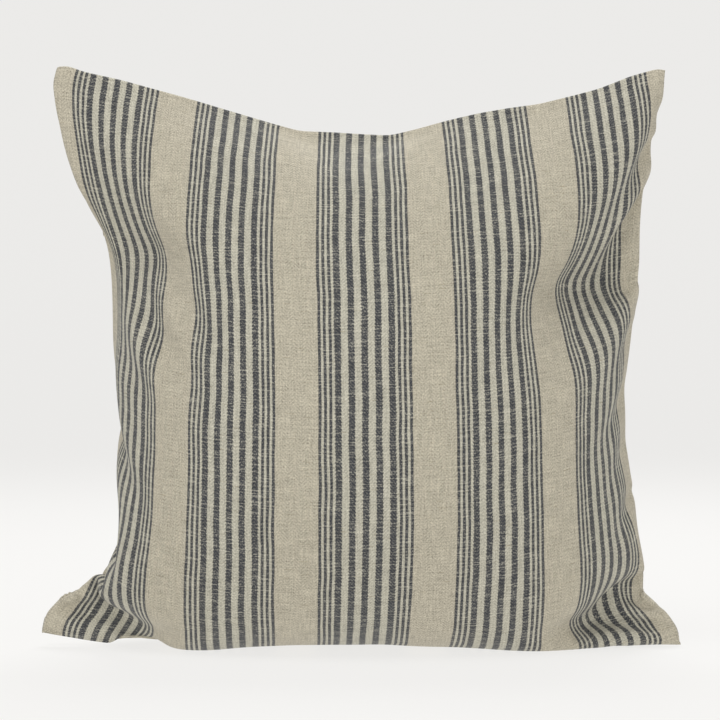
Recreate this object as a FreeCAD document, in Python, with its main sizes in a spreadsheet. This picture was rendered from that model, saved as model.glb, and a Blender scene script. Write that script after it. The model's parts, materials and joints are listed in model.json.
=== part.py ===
import FreeCAD, Part

import os

import Sketcher
from FreeCAD import Vector

# A square throw pillow standing on its bottom edge. X runs along the bottom seam, the front
# faces -Y, Z is up, and the origin is the middle of the resting foot. Millimetres.
DIMENSIONS = {
    # filled cover, measured on the seam line
    "top_half_span": 235.0,
    "bottom_half_span": 246.0,
    "waist_half_span": 197.0,
    "top_corner_height": 452.0,
    "top_middle_height": 396.0,
    "bottom_corner_lift": 9.0,
    "foot_sink": 20.0,
    "crown_depth": 114.0,
    # cloths
    "cover_cloth": 0.9,
    "cloth_side_inset": 1.3,
    "casing_cloth": 0.4,
    "seam_allowance": 10.0,
    # insert inside the cover
    "insert_edge_gap": 15.0,
    "insert_face_gap": 0.6,
    "filling_gap": 0.2,
    # threads and label
    "thread_size": 0.4,
    "seam_thread_inset": 3.0,
    "overlock_size": 0.8,
    "label_length": 60.0,
    "label_width": 6.0,
    "label_thickness": 0.25,
    "label_height": 150.0,
    # zip in the bottom seam
    "groove_length": 376.0,
    "groove_half_width": 5.5,
    "groove_height": 6.5,
    "slit_half_width": 0.9,
    "tape_length": 374.0,
    "tape_width": 10.5,
    "tape_thickness": 0.4,
    "tape_inner_edge": 0.8,
    "coil_radius": 0.75,
    "coil_offset": 1.6,
    "coil_length": 354.0,
    "zip_thread_offset": 4.5,
    "stop_length": 2.0,
    "stop_width": 1.8,
    "stop_height": 1.9,
    "stop_position": 179.0,
    # slider and pull
    "slider_length": 10.0,
    "slider_half_width": 3.6,
    "slider_plate": 1.3,
    "slider_side": 0.6,
    "slider_gap": 0.35,
    "neck_half_width": 0.45,
    "slider_rest": 171.5,
    "crown_half_length": 2.7,
    "crown_half_width": 0.5,
    "crown_bar": 0.8,
    "crown_opening": 1.35,
    "pull_pin_radius": 0.45,
    "pull_length": 17.0,
    "pull_half_width": 2.2,
    "pull_arm_inner": 0.95,
    "pull_fork_length": 4.0,
    "pull_thickness": 0.8,
    "zip_relief_half_width": 14.0,
    "zip_relief_height": 12.5,
}

GRID = 13  # interpolation points along each side of a crowned face
FLARE = 0.35  # share of the squared term in the crown's profile

doc = FreeCAD.newDocument("throw_pillow")
sheet = doc.addObject("Spreadsheet::Sheet", "sizes")
for row, (alias, value) in enumerate(DIMENSIONS.items(), start=1):
    sheet.set(f"A{row}", alias)
    sheet.set(f"B{row}", str(value))
    sheet.setAlias(f"B{row}", alias)
doc.recompute()

nodes = []


def size(alias):
    return float(sheet.get(alias))


def node(obj, label):
    obj.Label = label
    nodes.append(obj)
    return obj


# ---- the crowned shapes of cover, casing and filling ----


def profile(share):
    """Height of the crown across the cloth: 1 in the middle and 0 at the seam."""
    return 1 - FLARE * share**2 - (1 - FLARE) * share**4


def seam_point(across, up, inset):
    """A point of the seam plane, across and up from -1 to 1, drawn in from the seam by inset."""
    corner = (size("top_half_span") + size("bottom_half_span")) / 2
    corner += up * (size("top_half_span") - size("bottom_half_span")) / 2
    waist = size("waist_half_span")
    half = waist + (corner - waist) * up**2 - inset
    rise = size("top_corner_height") - size("top_middle_height")
    top = size("top_middle_height") + rise * across**2 - inset
    lift = size("bottom_corner_lift") + size("foot_sink")
    bottom = -size("foot_sink") + lift * across**4 + inset
    return Vector(across * half, 0, bottom + (up + 1) / 2 * (top - bottom))


def shares():
    return [-1 + 2 * i / (GRID - 1) for i in range(GRID)]


def crown_half(side, inset, depth):
    """One closed half of the pillow: a crowned face on one side, and flat on the seam plane."""
    grid = []
    for across in shares():
        column = []
        for up in shares():
            point = seam_point(across, up, inset)
            point.y = side * depth * profile(across) * profile(up)
            column.append(point)
        grid.append(column)
    surface = Part.BSplineSurface()
    surface.interpolate(grid)
    crowned = surface.toShape()
    flat = Part.Face(Part.Wire(Part.__sortEdges__(crowned.Edges)))
    shell = Part.makeShell([crowned, flat])
    shell.sewShape()
    solid = Part.makeSolid(shell)
    if solid.Volume < 0:
        solid.reverse()
    return solid


def outline_prism(inset, side, depth):
    """The area inside the seam line, drawn in by inset, as thick as depth on one side of the plane."""
    crowned = crown_half(side, inset, depth)
    flat = [f for f in crowned.Faces if isinstance(f.Surface, Part.Plane)][0]
    return flat.extrude(Vector(0, side * depth, 0))


def outline_band(outer, inner, side, depth):
    return outline_prism(outer, side, depth).cut(outline_prism(inner, side, depth))


def block(low, high):
    span = high - low
    return Part.makeBox(span.x, span.y, span.z, low)


def side_block(half_length, side, reach, low_z, high_z):
    """A block that is centred on X and starts at the seam plane."""
    low = Vector(-half_length, min(0, side * reach), low_z)
    return block(low, Vector(half_length, max(0, side * reach), high_z))


def room_above(side, height):
    """All the room on one side of the seam plane, above a height."""
    return side_block(400, side, 300, height, 600)


def zip_room(side):
    """The middle of the bottom seam, which the zip's groove fills."""
    reach = size("groove_length") / 2 + 2 * size("cover_cloth")
    return side_block(reach, side, 40, -60, size("zip_relief_height"))


def seam_line(side):
    """The thread of the seam on one side, bedded in the cloth, up to where the corners run thin."""
    inset, thread = size("seam_thread_inset"), size("thread_size")
    band = outline_band(inset, inset + thread, side, thread)
    band.translate(Vector(0, side * size("cover_cloth"), 0))
    band = band.common(crown_half(side, 0, size("crown_depth")))
    return band.common(room_above(side, size("cover_cloth"))).cut(zip_room(side))


def cover_panel(side):
    """One cover panel: a thin crowned shell with a flat foot, its seam allowance and half the zip groove."""
    cloth = size("cover_cloth")
    outer = crown_half(side, 0, size("crown_depth")).common(room_above(side, 0))
    inner = crown_half(side, size("cloth_side_inset"), size("crown_depth"))
    inner.translate(Vector(0, -side * cloth, 0))
    inner = inner.common(room_above(side, cloth))
    allowance = outline_band(0, size("seam_allowance"), side, cloth)
    half_length = size("groove_length") / 2
    width, height = size("groove_half_width"), size("groove_height")
    lining = side_block(half_length + cloth, side, width + cloth, 0, height + cloth)
    groove = side_block(half_length, side, width, 0, height)
    slit = side_block(half_length, side, size("slit_half_width"), 0, height + cloth)
    room = inner.cut(allowance).cut(lining)
    return outer.cut(room).cut(groove).cut(slit).cut(seam_line(side))


def insert_body(side, extra_inset, extra_depth):
    """One half of the insert, clear of the cover, the seam allowances and the zip."""
    cloth = size("cover_cloth")
    depth = size("crown_depth") - cloth - size("insert_face_gap") - extra_depth
    body = crown_half(side, size("insert_edge_gap") + extra_inset, depth)
    floor = cloth + size("insert_face_gap") + extra_depth
    body = body.common(room_above(side, floor))
    relief = side_block(
        400, side, size("zip_relief_half_width") + extra_depth, 0, size("zip_relief_height") + extra_depth
    )
    return body.cut(relief)


def casing_panel(side):
    cloth = size("casing_cloth")
    return insert_body(side, 0, 0).cut(insert_body(side, 1.6 * cloth, cloth))


def feature(label, shape):
    made = doc.addObject("Part::Feature", label)
    made.Shape = shape
    made.Placement = FreeCAD.Placement()
    return node(made, label)


def make_cloths():
    """Makes cover, casing and filling, and hands back the cover's two panels."""
    panels = []
    for word, side in (("front", -1), ("back", 1)):
        panels.append(feature(f"{word}_panel", cover_panel(side)).Shape)
        feature(f"insert_casing_{word}", casing_panel(side))
    gap = size("casing_cloth") + size("filling_gap")
    halves = [insert_body(side, 1.6 * gap, gap) for side in (-1, 1)]
    feature("insert_filling", halves[0].fuse(halves[1]).removeSplitter())
    return panels


# ---- threads and label on the seam allowances ----


def edge_line(side, outer, inner, depth):
    """A flat line of stitches around the seam plane, clear of the zip and of the foot."""
    band = outline_band(outer, inner, side, depth)
    return band.common(room_above(side, size("cover_cloth"))).cut(zip_room(side))


def make_seam_threads(panels):
    edge, width = size("seam_allowance"), size("overlock_size")
    rim, thread = size("insert_edge_gap"), size("thread_size")
    rims = []
    for word, line, side, panel in zip(("front", "back"), ("needle", "bobbin"), (-1, 1), panels):
        feature(f"seam_{line}_thread", seam_line(side))
        overlock = edge_line(side, edge, edge + width, size("cover_cloth"))
        feature(f"overlock_thread_{word}", overlock.cut(panel))
        rims.append(edge_line(side, rim - width, rim, thread))
    feature("insert_edge_thread", rims[0].fuse(rims[1]).removeSplitter())


def make_care_label():
    """A blank folded label, sewn flat on the front allowance of the left side seam."""
    low = size("label_height")
    inset = size("seam_thread_inset") + 2 * size("thread_size")
    band = outline_band(inset, inset + size("label_width"), -1, size("label_thickness"))
    band.translate(Vector(0, -size("cover_cloth"), 0))
    left = block(Vector(-300, -10, low), Vector(0, 10, low + size("label_length")))
    feature("care_label", band.common(left))


# ---- the zip ----


def box(label, length, width, height, place):
    made = doc.addObject("Part::Box", label)
    for name, text in (("Length", length), ("Width", width), ("Height", height)):
        made.setExpression(name, text)
    for axis, text in zip("xyz", place):
        made.setExpression(f"Placement.Base.{axis}", text)
    return made


def rod(label, radius, length, place):
    """A round rod along X."""
    made = doc.addObject("Part::Cylinder", label)
    made.setExpression("Radius", radius)
    made.setExpression("Height", length)
    made.Placement.Rotation = FreeCAD.Rotation(Vector(0, 1, 0), 90)
    for axis, text in zip("xyz", place):
        made.setExpression(f"Placement.Base.{axis}", text)
    return made


ROOF = "sizes.groove_height + sizes.cover_cloth"
TAPE_TOP = ROOF + " + sizes.tape_thickness"


def make_zip_chain():
    for word, sign in (("front", "-1"), ("back", "1")):
        low_edge = "sizes.tape_inner_edge"
        if word == "front":
            low_edge = "-sizes.tape_inner_edge - sizes.tape_width"
        tape = box(
            f"zip_tape_{word}",
            "sizes.tape_length",
            "sizes.tape_width",
            "sizes.tape_thickness",
            ("-sizes.tape_length / 2", low_edge, ROOF),
        )
        node(tape, f"zip_tape_{word}")
        coil = rod(
            f"zip_coil_{word}",
            "sizes.coil_radius",
            "sizes.coil_length",
            (
                "-sizes.coil_length / 2",
                f"{sign} * sizes.coil_offset",
                TAPE_TOP + " + sizes.coil_radius",
            ),
        )
        node(coil, f"zip_coil_{word}")
        thread = rod(
            f"zip_thread_{word}",
            "sizes.thread_size / 2",
            "sizes.tape_length",
            (
                "-sizes.tape_length / 2",
                f"{sign} * sizes.zip_thread_offset",
                TAPE_TOP + " + sizes.thread_size / 2",
            ),
        )
        node(thread, f"zip_thread_{word}")


def make_zip_stops():
    across = "2 * (sizes.coil_offset + sizes.coil_radius)"
    stop = box(
        "zip_bottom_stop",
        "sizes.stop_length",
        across,
        "sizes.stop_height",
        (
            "-sizes.stop_position - sizes.stop_length / 2",
            "-sizes.coil_offset - sizes.coil_radius",
            TAPE_TOP,
        ),
    )
    node(stop, "zip_bottom_stop")
    tops = []
    for word, low_edge in (
        ("front", "-sizes.tape_inner_edge - sizes.stop_width"),
        ("back", "sizes.tape_inner_edge"),
    ):
        tops.append(
            box(
                f"top_stop_{word}",
                "sizes.stop_length",
                "sizes.stop_width",
                "sizes.stop_height",
                ("sizes.stop_position - sizes.stop_length / 2", low_edge, TAPE_TOP),
            )
        )
    pair = doc.addObject("Part::Compound", "zip_top_stops")
    pair.Links = tops
    node(pair, "zip_top_stops")


# ---- slider and pull, as bodies with sketches ----


def evaluate(text):
    """The value of an expression over the sheet, for a sketch's starting point."""
    for alias in sorted(DIMENSIONS, key=len, reverse=True):
        text = text.replace("sizes." + alias, repr(size(alias)))
    return FreeCAD.Units.Quantity(text).Value if text else 0.0


def origin_plane(body, role):
    return [f for f in body.Origin.OriginFeatures if f.Role == role][0]


def sketch_on(body, role, label):
    sketch = body.newObject("Sketcher::SketchObject", label)
    sketch.AttachmentSupport = [(origin_plane(body, role), "")]
    sketch.MapMode = "FlatFace"
    return sketch


def closed_outline(sketch, corners):
    """A polygon through corners, each held by two distances from the origin, bound to the sheet."""
    spots = [Vector(evaluate(x), evaluate(y), 0) for x, y in corners]
    count = len(spots)
    lines = [Part.LineSegment(spots[i], spots[(i + 1) % count]) for i in range(count)]
    sketch.addGeometry(lines, False)
    for i in range(count):
        sketch.addConstraint(Sketcher.Constraint("Coincident", i, 2, (i + 1) % count, 1))
    for i, (across, up) in enumerate(corners):
        for kind, text, value in (("DistanceX", across, spots[i].x), ("DistanceY", up, spots[i].y)):
            index = sketch.addConstraint(Sketcher.Constraint(kind, -1, 1, i, 1, value))
            sketch.setExpression(f"Constraints[{index}]", text)


def pad(body, sketch, length, label):
    made = body.newObject("PartDesign::Pad", label)
    made.Profile = sketch
    made.setExpression("Length", length)
    made.Midplane = True
    return made


SLIDER_TOP = TAPE_TOP + " + 2 * sizes.coil_radius + sizes.slider_gap"
SLIDER_FOOT = "sizes.groove_height - sizes.slider_gap"
PLATE_LOW = SLIDER_FOOT + " - sizes.slider_plate"
PIN_HEIGHT = PLATE_LOW + " - sizes.crown_opening / 2"


def make_slider():
    """An H-shaped slider: a plate in the groove, a neck through the slit and a hooked plate inside."""
    body = doc.addObject("PartDesign::Body", "zip_slider")
    wide = "sizes.slider_half_width"
    neck = "sizes.neck_half_width"
    hook = "sizes.slider_half_width - sizes.slider_side"
    hook_low = TAPE_TOP + " + sizes.slider_gap"
    right = [
        (wide, PLATE_LOW),
        (wide, SLIDER_FOOT),
        (neck, SLIDER_FOOT),
        (neck, SLIDER_TOP),
        (hook, SLIDER_TOP),
        (hook, hook_low),
        (wide, hook_low),
        (wide, SLIDER_TOP + " + sizes.slider_plate"),
    ]
    left = [(f"-({across})", up) for across, up in reversed(right)]
    section = sketch_on(body, "YZ_Plane", "slider_section")
    closed_outline(section, right + left)
    pad(body, section, "sizes.slider_length", "slider_pad")
    bar_low = PLATE_LOW + " - sizes.crown_opening - sizes.crown_bar"
    opening_low = PLATE_LOW + " - sizes.crown_opening"
    outer, inner = "sizes.crown_half_length", "(sizes.crown_half_length - sizes.crown_bar)"
    bridge = [
        (f"-{outer}", PLATE_LOW),
        (f"-{outer}", bar_low),
        (outer, bar_low),
        (outer, PLATE_LOW),
        (inner, PLATE_LOW),
        (inner, opening_low),
        (f"-{inner}", opening_low),
        (f"-{inner}", PLATE_LOW),
    ]
    crown = sketch_on(body, "XZ_Plane", "crown_section")
    closed_outline(crown, bridge)
    body.Tip = pad(body, crown, "2 * sizes.crown_half_width", "crown_pad")
    body.setExpression("Placement.Base.x", "sizes.slider_rest")
    return node(body, "zip_slider")


def make_pull():
    """A forked pull tab whose cross pin is caught under the slider's crown."""
    body = doc.addObject("PartDesign::Body", "zip_pull")
    wide, arm = "sizes.pull_half_width", "sizes.pull_arm_inner"
    end, fork = "sizes.pull_length", "sizes.pull_fork_length"
    pin = "sizes.pull_pin_radius"
    outline = [
        (pin, wide),
        (f"-{end} + 1.5", wide),
        (f"-{end}", f"{wide} - 1"),
        (f"-{end}", f"1 - {wide}"),
        (f"-{end} + 1.5", f"-{wide}"),
        (pin, f"-{wide}"),
        (pin, f"-{arm}"),
        (f"-{fork}", f"-{arm}"),
        (f"-{fork}", arm),
        (pin, arm),
    ]
    flat = sketch_on(body, "XY_Plane", "pull_outline")
    closed_outline(flat, outline)
    pad(body, flat, "sizes.pull_thickness", "pull_pad")
    pin_section = sketch_on(body, "XZ_Plane", "pin_section")
    circle = Part.Circle(Vector(0, 0, 0), Vector(0, 0, 1), size("pull_pin_radius"))
    pin_section.addGeometry(circle, False)
    pin_section.addConstraint(Sketcher.Constraint("Coincident", 0, 3, -1, 1))
    radius = pin_section.addConstraint(
        Sketcher.Constraint("Radius", 0, size("pull_pin_radius"))
    )
    pin_section.setExpression(f"Constraints[{radius}]", pin)
    body.Tip = pad(body, pin_section, f"2 * {wide}", "pin_pad")
    body.setExpression("Placement.Base.x", "sizes.slider_rest")
    body.setExpression("Placement.Base.z", PIN_HEIGHT)
    return node(body, "zip_pull")


def check_and_write():
    failed = [o.Name for o in doc.Objects if {"Invalid", "Error"} & set(o.State)]
    if failed:
        raise RuntimeError(f"these objects failed: {failed}")
    os.makedirs("parts", exist_ok=True)
    for obj in nodes:
        shape = obj.Shape
        if shape.isNull() or not shape.isValid():
            raise RuntimeError(f"{obj.Label} has no valid shape")
        shape.exportStep(f"parts/{obj.Label}.step")
        spans = (shape.BoundBox.XLength, shape.BoundBox.YLength, shape.BoundBox.ZLength)
        sizes = " x ".join(f"{span:.1f}" for span in spans)
        print(f"{obj.Label}: {len(shape.Solids)} solid(s), {shape.Volume:.0f} mm3, {sizes} mm")


cover_panels = make_cloths()
make_seam_threads(cover_panels)
make_care_label()
make_zip_chain()
make_zip_stops()
make_slider()
make_pull()
doc.recompute()
check_and_write()
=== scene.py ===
import json
import math
import time

import bmesh
import bpy
import numpy as np
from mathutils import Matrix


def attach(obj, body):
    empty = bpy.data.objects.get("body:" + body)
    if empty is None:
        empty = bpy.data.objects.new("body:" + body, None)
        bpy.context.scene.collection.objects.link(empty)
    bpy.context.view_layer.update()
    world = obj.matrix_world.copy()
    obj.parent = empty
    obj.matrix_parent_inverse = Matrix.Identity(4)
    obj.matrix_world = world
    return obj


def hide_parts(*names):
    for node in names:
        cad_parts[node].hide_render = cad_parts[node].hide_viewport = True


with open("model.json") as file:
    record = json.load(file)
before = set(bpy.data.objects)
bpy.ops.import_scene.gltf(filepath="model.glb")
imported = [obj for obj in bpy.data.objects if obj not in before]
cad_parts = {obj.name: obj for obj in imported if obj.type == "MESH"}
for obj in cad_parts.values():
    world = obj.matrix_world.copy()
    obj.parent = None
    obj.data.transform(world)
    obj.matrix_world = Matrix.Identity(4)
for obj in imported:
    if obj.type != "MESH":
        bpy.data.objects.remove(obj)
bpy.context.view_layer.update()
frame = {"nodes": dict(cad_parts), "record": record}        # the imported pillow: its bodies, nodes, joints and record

cushion = "cushion"
mm = 0.001


def smooth(edge0, edge1, x):
    # an S curve from 0 at edge0 to 1 at edge1: 3t squared less 2t cubed
    t = np.clip((x - edge0) / (edge1 - edge0), 0, 1)
    return t * t * (3 - 2 * t)


def addMesh(name, points, faces, uv=None):
    # a mesh object at the origin, with an optional uv for each point
    mesh = bpy.data.meshes.new(name)
    mesh.from_pydata(points.reshape(-1, 3).tolist(), [], faces.tolist())
    mesh.polygons.foreach_set("use_smooth", np.ones(len(mesh.polygons), bool))
    if uv is not None:
        corner = np.empty(len(mesh.loops), np.int32)
        mesh.loops.foreach_get("vertex_index", corner)
        layer = mesh.uv_layers.new(name="cloth")
        layer.data.foreach_set("uv", uv.reshape(-1, 2)[corner].astype(np.float32).ravel())
    mesh.update()
    piece = bpy.data.objects.new(name, mesh)
    bpy.context.scene.collection.objects.link(piece)
    return piece


def gridFaces(rows, columns, flip=False, closeRows=False, closeColumns=False):
    # quads over a grid of points numbered row by row, wrapped round where a way is closed
    i = np.arange(rows if closeRows else rows - 1)
    j = np.arange(columns if closeColumns else columns - 1)
    i, j = (a.ravel() for a in np.meshgrid(i, j, indexing="ij"))
    i1, j1 = (i + 1) % rows, (j + 1) % columns
    quads = np.stack([i * columns + j, i1 * columns + j, i1 * columns + j1, i * columns + j1], 1)
    return quads[:, ::-1] if flip else quads


def settlePiece(piece, body, slotName, *nodes):
    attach(piece, body)
    if nodes:
        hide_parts(*nodes)
    return piece


def between(values, places, axis):
    # values at fractional places along an axis, by the Catmull-Rom rule through the four nearest
    values = np.moveaxis(values, axis, 0)
    last = len(values) - 1
    i = np.clip(np.floor(places).astype(int), 0, last - 1)
    t = (places - i).reshape((-1,) + (1,) * (values.ndim - 1))
    near = [values[np.clip(i + k, 0, last)] for k in (-1, 0, 1, 2)]
    first = (i == 0).reshape(t.shape)
    final = (i == last - 1).reshape(t.shape)
    near[0] = np.where(first, 2 * near[1] - near[2], near[0])
    near[3] = np.where(final, 2 * near[2] - near[1], near[3])
    a, b, c, d = near
    out = b + 0.5 * t * (c - a + t * (2 * a - 5 * b + 4 * c - d + t * (3 * (b - c) + d - a)))
    return np.moveaxis(out, 0, axis)


cover = {
    "cut": 0.500,             # side of the sewn square, from seam to seam
    "steps": (25, 50, 100, 200),
    "rounds": (400, 250, 160, 90),
    "squeeze": (0.0, 0.0, 0.15, 0.15),   # how far the cloth resists being pushed together, per grid
    "shear": 0.1,
    "bend": 0.03,
    "keep": 0.9,              # speed kept from one round to the next
    "push": 0.02,
    "volume": 0.0215,         # cubic metres inside
    "firstBulge": 0.09,       # half the thickness that the relaxing starts from
    "firstFill": 0.4,
    "leastFill": 0.02,
    "headShare": 0.8,         # how much more the filling presses at the bottom than at mid height
    "sag": 0.55,              # the filling's weight on the cloth, as a share of its pressure
    "hold": 0.3,              # how firmly the seam is held on its line
    "centre": 0.03,
    "plies": 4.0 * mm,        # two cloths and two turned allowances, where the cover lies flat
    "floor": 0.6 * mm,
    "grooveHalf": 5.5 * mm,   # the zip's groove under the bottom seam
    "grooveHigh": 6.6 * mm,
    "grooveEnd": 188 * mm,
    "zipRoom": 6.5 * mm,      # half the width kept free round the slider
    "zipRoomHigh": (9 * mm, 20 * mm),     # where it fades, upwards
    "zipRoomEnd": (184 * mm, 200 * mm),   # and along the seam
    "zipHem": 5 * mm,         # cloth nearer the seam than this stays as it is
    "creases": (              # from and to on the cut cloth, width and depth of each corner's fold
        ((0.0, 0.060), (0.084, 0.012), 0.008, 0.03),
        ((0.5, 0.058), (0.452, 0.050), 0.008, 0.06),
        ((0.0, 0.347), (0.080, 0.360), 0.008, 0.010),
        ((0.5, 0.322), (0.418, 0.335), 0.008, 0.010),
    ),
    "eased": (                # folds softened at the end: place, reach across and up, rounds
        ((0.0, 0.315), (0.035, 0.042), 300),
        ((0.070, 0.014), (0.026, 0.014), 120),
    ),
    "ears": (                 # corners the filling doesn't reach: place, and reach along each seam
        ((0.0, 0.0), (0.080, 0.050)),
        ((0.5, 0.0), (0.045, 0.048)),
        ((0.0, 0.5), (0.050, 0.055)),
        ((0.5, 0.5), (0.050, 0.055)),
    ),
    "earFade": 0.15,
    "plumps": (               # where the filling is packed harder: place, reach and extra share
        ((0.455, 0.085), 0.030, 1.0),
        ((0.425, 0.035), 0.030, 1.0),
    ),
    # uneven sewing along the side seams: period, size and phase
    "feed": ((0.031, 0.6 * mm, 1.0), (0.044, 0.9 * mm, 2.6), (0.071, 1.2 * mm, 4.1)),
    # where each seam lies, x and z in metres, from one corner of the cut to the next
    "left": (
        (-0.2465, 0.0105), (-0.2435, 0.026), (-0.233, 0.036), (-0.217, 0.039), (-0.203, 0.044),
        (-0.198, 0.056), (-0.187, 0.082), (-0.170, 0.109), (-0.182, 0.136), (-0.186, 0.152),
        (-0.181, 0.186), (-0.184, 0.204), (-0.191, 0.229), (-0.193, 0.262), (-0.183, 0.299),
        (-0.200, 0.330), (-0.2165, 0.360), (-0.227, 0.386), (-0.2355, 0.415), (-0.2385, 0.437),
        (-0.2345, 0.4485),
    ),
    "right": (
        (0.248, 0.001), (0.2465, 0.014), (0.2365, 0.027), (0.2255, 0.036), (0.2175, 0.043),
        (0.2135, 0.067), (0.2115, 0.113), (0.2045, 0.160), (0.204, 0.206), (0.2115, 0.260),
        (0.2135, 0.268), (0.2165, 0.299), (0.217, 0.330), (0.2195, 0.355), (0.2245, 0.370),
        (0.2255, 0.392), (0.2285, 0.402), (0.228, 0.414), (0.2345, 0.426), (0.2365, 0.446),
    ),
    "top": (
        (-0.2345, 0.4485), (-0.227, 0.4505), (-0.216, 0.4455), (-0.186, 0.439), (-0.139, 0.426),
        (-0.093, 0.412), (-0.070, 0.405), (-0.047, 0.399), (-0.023, 0.398), (0.0, 0.3965),
        (0.023, 0.3955), (0.047, 0.401), (0.070, 0.4075), (0.093, 0.413), (0.116, 0.417),
        (0.139, 0.420), (0.163, 0.426), (0.186, 0.432), (0.209, 0.4415), (0.2325, 0.448),
        (0.2365, 0.446),
    ),
    "bottom": (
        (-0.2465, 0.0105), (-0.233, 0.008), (-0.211, 0.0045), (-0.186, 0.001), (0.0, 0.001),
        (0.225, 0.001), (0.248, 0.001),
    ),
    "seamSamples": 401,
    "seamSoftness": 17,       # samples over which a seam's line is softened, by a raised cosine
}


def seamPath(points, count, feed=()):
    # places along a softened line through its points, evenly spaced but for the seam's uneven feed
    samples = cover["seamSamples"]
    knots = np.array(points)
    arc = np.concatenate([[0], np.cumsum(np.hypot(*np.diff(knots, axis=0).T))])
    fine = np.linspace(0, arc[-1], samples)
    line = np.stack([np.interp(fine, arc, knots[:, k]) for k in (0, 1)], 1)
    window = np.hanning(cover["seamSoftness"])[1:-1, None]
    reach = len(window) // 2
    padded = np.concatenate([
        2 * line[0] - line[reach:0:-1], line, 2 * line[-1] - line[-2:-reach - 2:-1],
    ])
    spans = np.stack([padded[k:k + samples] for k in range(2 * reach + 1)])
    line = (spans * (window / window.sum())[:, :, None]).sum(0)
    arc = np.concatenate([[0], np.cumsum(np.hypot(*np.diff(line, axis=0).T))])
    places = np.linspace(0, arc[-1], count)
    for period, size, phase in feed:
        fade = smooth(0.05, 0.12, places) * smooth(0.0, 0.05, arc[-1] - places)
        places = places + size * np.sin(places * 2 * math.pi / period + phase) * fade
    return np.stack([np.interp(places, arc, line[:, k]) for k in (0, 1)], 1)


def zipShare(x):
    # 1 along the zip and 0 past its ends
    return 1 - smooth(cover["grooveEnd"] - 4 * mm, cover["grooveEnd"] + 8 * mm, np.abs(x))


def seamTargets(count):
    targets = []
    for name, place in (
        ("left", (0, slice(None))), ("right", (-1, slice(None))),
        ("top", (slice(None), -1)), ("bottom", (slice(None), 0)),
    ):
        feed = cover["feed"] if name in ("left", "right") else ()
        path = seamPath(cover[name], count, feed)
        if name == "bottom":
            raised = zipShare(path[:, 0])
            path[:, 1] = path[:, 1] * (1 - raised) + cover["grooveHigh"] * raised
        targets.append((place, path))
    return targets


def flatPlaces(count):
    u = np.linspace(0, cover["cut"], count)
    return np.meshgrid(u, u, indexing="ij")


def startShape(count):
    # the seam's four lines filled in by a blend of opposite sides, then bulged as a product of sines
    t = np.linspace(0, 1, count)
    across, up = np.meshgrid(t, t, indexing="ij")
    left, right, top, bottom = (path for _, path in seamTargets(count))
    a, b = across[..., None], up[..., None]
    flat = (1 - a) * left[None] + a * right[None] + (1 - b) * bottom[:, None] + b * top[:, None]
    flat -= (1 - a) * (1 - b) * bottom[0] + a * (1 - b) * bottom[-1]
    flat -= (1 - a) * b * top[0] + a * b * top[-1]
    bulge = cover["firstBulge"] * (np.sin(np.pi * across) * np.sin(np.pi * up)) ** 0.6
    cloth = np.zeros((2, count, count, 3))
    cloth[..., 0] = flat[..., 0]
    cloth[..., 2] = np.maximum(flat[..., 1], cover["floor"])
    cloth[0, ..., 1] = -bulge
    cloth[1, ..., 1] = bulge
    return cloth


def fillReach(count):
    # 1 where the filling presses, falling to 0 in the corners' ears
    u, v = flatPlaces(count)
    reach = np.ones((count, count))
    for (cornerU, cornerV), (alongU, alongV) in cover["ears"]:
        away = np.abs(u - cornerU) / alongU + np.abs(v - cornerV) / alongV
        reach *= np.clip((away - 1) / cover["earFade"], 0, 1)
    for (plumpU, plumpV), size, extra in cover["plumps"]:
        reach *= 1 + extra * np.exp(-((u - plumpU) ** 2 + (v - plumpV) ** 2) / size ** 2)
    return reach


def creasePull(count):
    # a pull towards the seam plane that fades as a bell curve from each crease's line
    u, v = flatPlaces(count)
    pull = np.zeros((2, count, count))
    for start, end, width, depth in cover["creases"]:
        start, end = np.array(start), np.array(end)
        way = end - start
        t = np.clip(((u - start[0]) * way[0] + (v - start[1]) * way[1]) / (way @ way), 0, 1)
        away = np.hypot(u - start[0] - t * way[0], v - start[1] - t * way[1])
        pull[0] += depth * np.exp(-((away / width) ** 2))
    pull[1] = -pull[0]
    return pull


def areaNormals(cloth):
    # each point's normal times its area, outwards: the cross product of the grid's two slopes
    du, dv = np.empty_like(cloth), np.empty_like(cloth)
    du[:, 1:-1] = (cloth[:, 2:] - cloth[:, :-2]) * 0.5
    du[:, 0], du[:, -1] = cloth[:, 1] - cloth[:, 0], cloth[:, -1] - cloth[:, -2]
    dv[:, :, 1:-1] = (cloth[:, :, 2:] - cloth[:, :, :-2]) * 0.5
    dv[:, :, 0] = cloth[:, :, 1] - cloth[:, :, 0]
    dv[:, :, -1] = cloth[:, :, -1] - cloth[:, :, -2]
    normals = np.cross(du, dv)
    normals[1] *= -1
    return normals


def holdLength(a, b, length, stretch, squeeze):
    # moves both ends of many threads towards their cut length
    way = b - a
    now = np.sqrt((way * way).sum(-1, keepdims=True)) + 1e-9
    off = (now - length) / now
    off *= np.where(off > 0, stretch, squeeze) * 0.5
    way *= off
    a += way
    b -= way


def softenBends(cloth, strength):
    # moves each point towards the middle of its two neighbours, both ways of the grid
    for axis in (1, 2):
        lines = np.moveaxis(cloth, axis, 0)
        move = (lines[2:] + lines[:-2]) * 0.5 - lines[1:-1]
        lines[1:-1] += move * strength
        lines[2:] -= move * (strength * 0.5)
        lines[:-2] -= move * (strength * 0.5)


def sewEdges(cloth):
    for edge in ((slice(None), 0), (slice(None), -1), (0, slice(None)), (-1, slice(None))):
        middle = 0.5 * (cloth[(0,) + edge] + cloth[(1,) + edge])
        cloth[(0,) + edge] = middle
        cloth[(1,) + edge] = middle


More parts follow.
